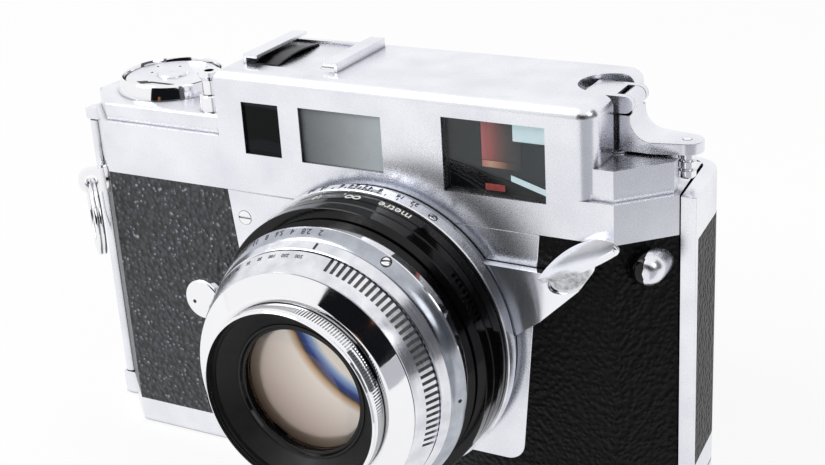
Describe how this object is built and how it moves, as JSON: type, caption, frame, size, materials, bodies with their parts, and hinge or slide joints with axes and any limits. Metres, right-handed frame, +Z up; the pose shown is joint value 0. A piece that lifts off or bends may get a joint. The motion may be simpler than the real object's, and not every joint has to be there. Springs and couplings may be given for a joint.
{
  "type": "rangefinder film camera",
  "caption": "35 mm rangefinder film camera with a fixed leaf-shutter lens, front advance lever, folding rewind crank, accessory shoe and hinged back.",
  "frame": {"origin": "middle of the tripod socket's mouth in the base, right under the lens axis", "axes": "+Z up, -Y forwards out of the lens, +X to the right of someone facing the lens; the camera stands on its base at z = 0"},
  "size_m": [0.1416, 0.067, 0.0886],
  "materials": {
    "satin_chrome": "satin plated",
    "bright_chrome": "polished plated",
    "leather": "pebbled",
    "black_paint": "satin black",
    "alloy_paint": "black crinkle on die casting",
    "black_plastic": "matte",
    "clear_glass": "coated",
    "dark_glass": "tinted",
    "frosted_glass": "frosted",
    "half_mirror": "half silvered",
    "spring_steel": "plain",
    "blade_steel": "blackened",
    "bush_brass": "machined"
  },
  "bodies": {
    "camera_body": {"body_casting": "alloy_paint", "top_cover": "satin_chrome", "bottom_cover": "satin_chrome", "front_plate": "satin_chrome", "front_leather": "leather", "rangefinder_window": "dark_glass", "illumination_window": "frosted_glass", "viewfinder_window": "clear_glass", "viewfinder_block": "black_paint", "half_mirror": "half_mirror", "eyepiece_bezel": "satin_chrome", "eyepiece_glass": "clear_glass", "accessory_shoe": "satin_chrome", "shoe_spring": "spring_steel", "cover_screws": "bright_chrome", "strap_lug": "bright_chrome", "sync_socket": "bright_chrome", "sync_contact": "black_plastic", "tripod_bush": "bush_brass", "lens_mount_tube": "black_paint", "depth_scale_ring": "satin_chrome", "hinge_pin": "spring_steel", "release_collar": "bright_chrome", "counter_bezel": "bright_chrome"},
    "ring": {"strap_ring": "bright_chrome"},
    "door": {"back_door": "satin_chrome", "door_leather": "leather", "pressure_spring": "spring_steel"},
    "film_plate": {"pressure_plate": "black_paint"},
    "latch": {"latch_slide": "satin_chrome"},
    "lever": {"advance_lever": "satin_chrome"},
    "spool": {"take_up_spool": "black_paint"},
    "sprocket": {"sprocket_wheel": "spring_steel"},
    "focus": {"focus_ring": "black_paint", "focus_knob": "bright_chrome"},
    "lens_unit": {"shutter_housing": "satin_chrome", "shutter_front": "black_paint", "index_ring": "satin_chrome", "front_bezel": "satin_chrome", "front_cell": "satin_chrome", "name_ring": "black_paint", "front_glass": "clear_glass", "rear_glass": "clear_glass"},
    "aperture": {"aperture_ring": "satin_chrome"},
    "speed": {"speed_ring": "satin_chrome"},
    "release": {"release_button": "bright_chrome"},
    "counter": {"counter_dial": "satin_chrome"},
    "fork": {"rewind_fork": "spring_steel"},
    "head": {"rewind_head": "bright_chrome"},
    "crank": {"crank_arm": "bright_chrome"},
    "handle": {"crank_knob": "bright_chrome"},
    "rewind_key": {"rewind_release": "satin_chrome"},
    "iris_1": {"iris_blade_1": "blade_steel"},
    "iris_2": {"iris_blade_2": "blade_steel"},
    "iris_3": {"iris_blade_3": "blade_steel"},
    "iris_4": {"iris_blade_4": "blade_steel"},
    "iris_5": {"iris_blade_5": "blade_steel"},
    "shutter_1": {"shutter_blade_1": "blade_steel"},
    "shutter_2": {"shutter_blade_2": "blade_steel"},
    "shutter_3": {"shutter_blade_3": "blade_steel"}
  },
  "joints": [
    {"name": "strap_ring_swing", "type": "hinge", "parent": "camera_body", "child": "ring", "pos_m": [-0.07302, -0.0132, 0.0573], "axis": [-0.711, 0.7032, 0], "range_deg": [0, 150]},
    {"name": "door_swing", "type": "hinge", "parent": "camera_body", "child": "door", "pos_m": [-0.07665, -0.00455, 0.0369], "axis": [0, 0, 1], "range_deg": [0, 105]},
    {"name": "film_plate_give", "type": "slide", "parent": "door", "child": "film_plate", "axis": [0, 1, 0], "range_m": [0, 0.0007], "stiffness_N_per_m": 300, "springref_m": -0.001, "deforming": ["pressure_spring"]},
    {"name": "latch_slide", "type": "slide", "parent": "door", "child": "latch", "axis": [-1, 0, 0], "range_m": [0, 0.003]},
    {"name": "lever_stroke", "type": "hinge", "parent": "camera_body", "child": "lever", "pos_m": [0, -0.0162, 0.0369], "axis": [0, 1, 0], "range_deg": [0, 55], "stiffness_Nm_per_rad": 0.06, "springref_deg": -20.05},
    {"name": "sprocket_turn", "type": "hinge", "parent": "camera_body", "child": "sprocket", "pos_m": [-0.033, 0.0056, 0.0369], "axis": [0, 0, 1], "range_deg": [0, 180]},
    {"name": "spool_turn", "type": "hinge", "parent": "camera_body", "child": "spool", "pos_m": [-0.058, 0, 0.0369], "axis": [0, 0, 1], "range_deg": [0, 155]},
    {"name": "counter_turn", "type": "hinge", "parent": "camera_body", "child": "counter", "pos_m": [-0.0583, 0.001, 0.078], "axis": [0, 0, 1], "range_deg": [0, 9]},
    {"name": "focus_turn", "type": "hinge", "parent": "camera_body", "child": "focus", "pos_m": [0, -0.0246, 0.0369], "axis": [0, -1, 0], "range_deg": [0, 60]},
    {"name": "lens_extend", "type": "slide", "parent": "camera_body", "child": "lens_unit", "axis": [0, -1, 0], "range_m": [0, 0.0027]},
    {"name": "aperture_turn", "type": "hinge", "parent": "lens_unit", "child": "aperture", "pos_m": [0, -0.035, 0.0369], "axis": [0, -1, 0], "range_deg": [0, 70]},
    {"name": "speed_turn", "type": "hinge", "parent": "lens_unit", "child": "speed", "pos_m": [0, -0.042, 0.0369], "axis": [0, -1, 0], "range_deg": [0, 110]},
    {"name": "iris_1_swing", "type": "hinge", "parent": "lens_unit", "child": "iris_1", "pos_m": [0.017, -0.03467, 0.0369], "axis": [0, 1, 0], "range_deg": [0, 38]},
    {"name": "iris_2_swing", "type": "hinge", "parent": "lens_unit", "child": "iris_2", "pos_m": [0.00525, -0.03508, 0.05307], "axis": [0, 1, 0], "range_deg": [0, 38]},
    {"name": "iris_3_swing", "type": "hinge", "parent": "lens_unit", "child": "iris_3", "pos_m": [-0.01375, -0.03547, 0.04689], "axis": [0, 1, 0], "range_deg": [0, 38]},
    {"name": "iris_4_swing", "type": "hinge", "parent": "lens_unit", "child": "iris_4", "pos_m": [-0.01375, -0.03587, 0.02691], "axis": [0, 1, 0], "range_deg": [0, 38]},
    {"name": "iris_5_swing", "type": "hinge", "parent": "lens_unit", "child": "iris_5", "pos_m": [0.00525, -0.03628, 0.02073], "axis": [0, 1, 0], "range_deg": [0, 38]},
    {"name": "shutter_1_swing", "type": "hinge", "parent": "lens_unit", "child": "shutter_1", "pos_m": [0.019, -0.03047, 0.0369], "axis": [0, -1, 0], "range_deg": [0, 42]},
    {"name": "shutter_2_swing", "type": "hinge", "parent": "lens_unit", "child": "shutter_2", "pos_m": [-0.0095, -0.03087, 0.05335], "axis": [0, -1, 0], "range_deg": [0, 42]},
    {"name": "shutter_3_swing", "type": "hinge", "parent": "lens_unit", "child": "shutter_3", "pos_m": [-0.0095, -0.03127, 0.02045], "axis": [0, -1, 0], "range_deg": [0, 42]},
    {"name": "release_press", "type": "slide", "parent": "camera_body", "child": "release", "axis": [0, 0, -1], "range_m": [0, 0.0025], "stiffness_N_per_m": 400, "springref_m": -0.001},
    {"name": "fork_turn", "type": "hinge", "parent": "camera_body", "child": "fork", "pos_m": [0.0435, 0, 0.06], "axis": [0, 0, 1], "continuous": true},
    {"name": "head_turn", "type": "hinge", "parent": "camera_body", "child": "head", "pos_m": [0.0435, 0, 0.078], "axis": [0, 0, 1], "range_deg": [0, 20]},
    {"name": "crank_flip", "type": "hinge", "parent": "head", "child": "crank", "pos_m": [0.0475, 0, 0.0842], "axis": [0, -1, 0], "range_deg": [0, 180]},
    {"name": "handle_spin", "type": "hinge", "parent": "crank", "child": "handle", "pos_m": [0.058, 0, 0.073], "axis": [0, 0, 1], "continuous": true},
    {"name": "rewind_key_press", "type": "slide", "parent": "camera_body", "child": "rewind_key", "axis": [0, 0, 1], "range_m": [0, 0.0015]}
  ],
  "couplings": [
    {"joint": "sprocket_turn", "follows": "lever_stroke", "ratio": 3.2727},
    {"joint": "spool_turn", "follows": "lever_stroke", "ratio": 2.8182},
    {"joint": "counter_turn", "follows": "lever_stroke", "ratio": 0.16363},
    {"joint": "lens_extend", "follows": "focus_turn", "m_per_rad": 0.002578},
    {"joint": "iris_1_swing", "follows": "aperture_turn", "ratio": 0.54285},
    {"joint": "iris_2_swing", "follows": "aperture_turn", "ratio": 0.54285},
    {"joint": "iris_3_swing", "follows": "aperture_turn", "ratio": 0.54285},
    {"joint": "iris_4_swing", "follows": "aperture_turn", "ratio": 0.54285},
    {"joint": "iris_5_swing", "follows": "aperture_turn", "ratio": 0.54285},
    {"joint": "shutter_1_swing", "follows": "release_press", "rad_per_m": 293},
    {"joint": "shutter_2_swing", "follows": "release_press", "rad_per_m": 293},
    {"joint": "shutter_3_swing", "follows": "release_press", "rad_per_m": 293}
  ]
}
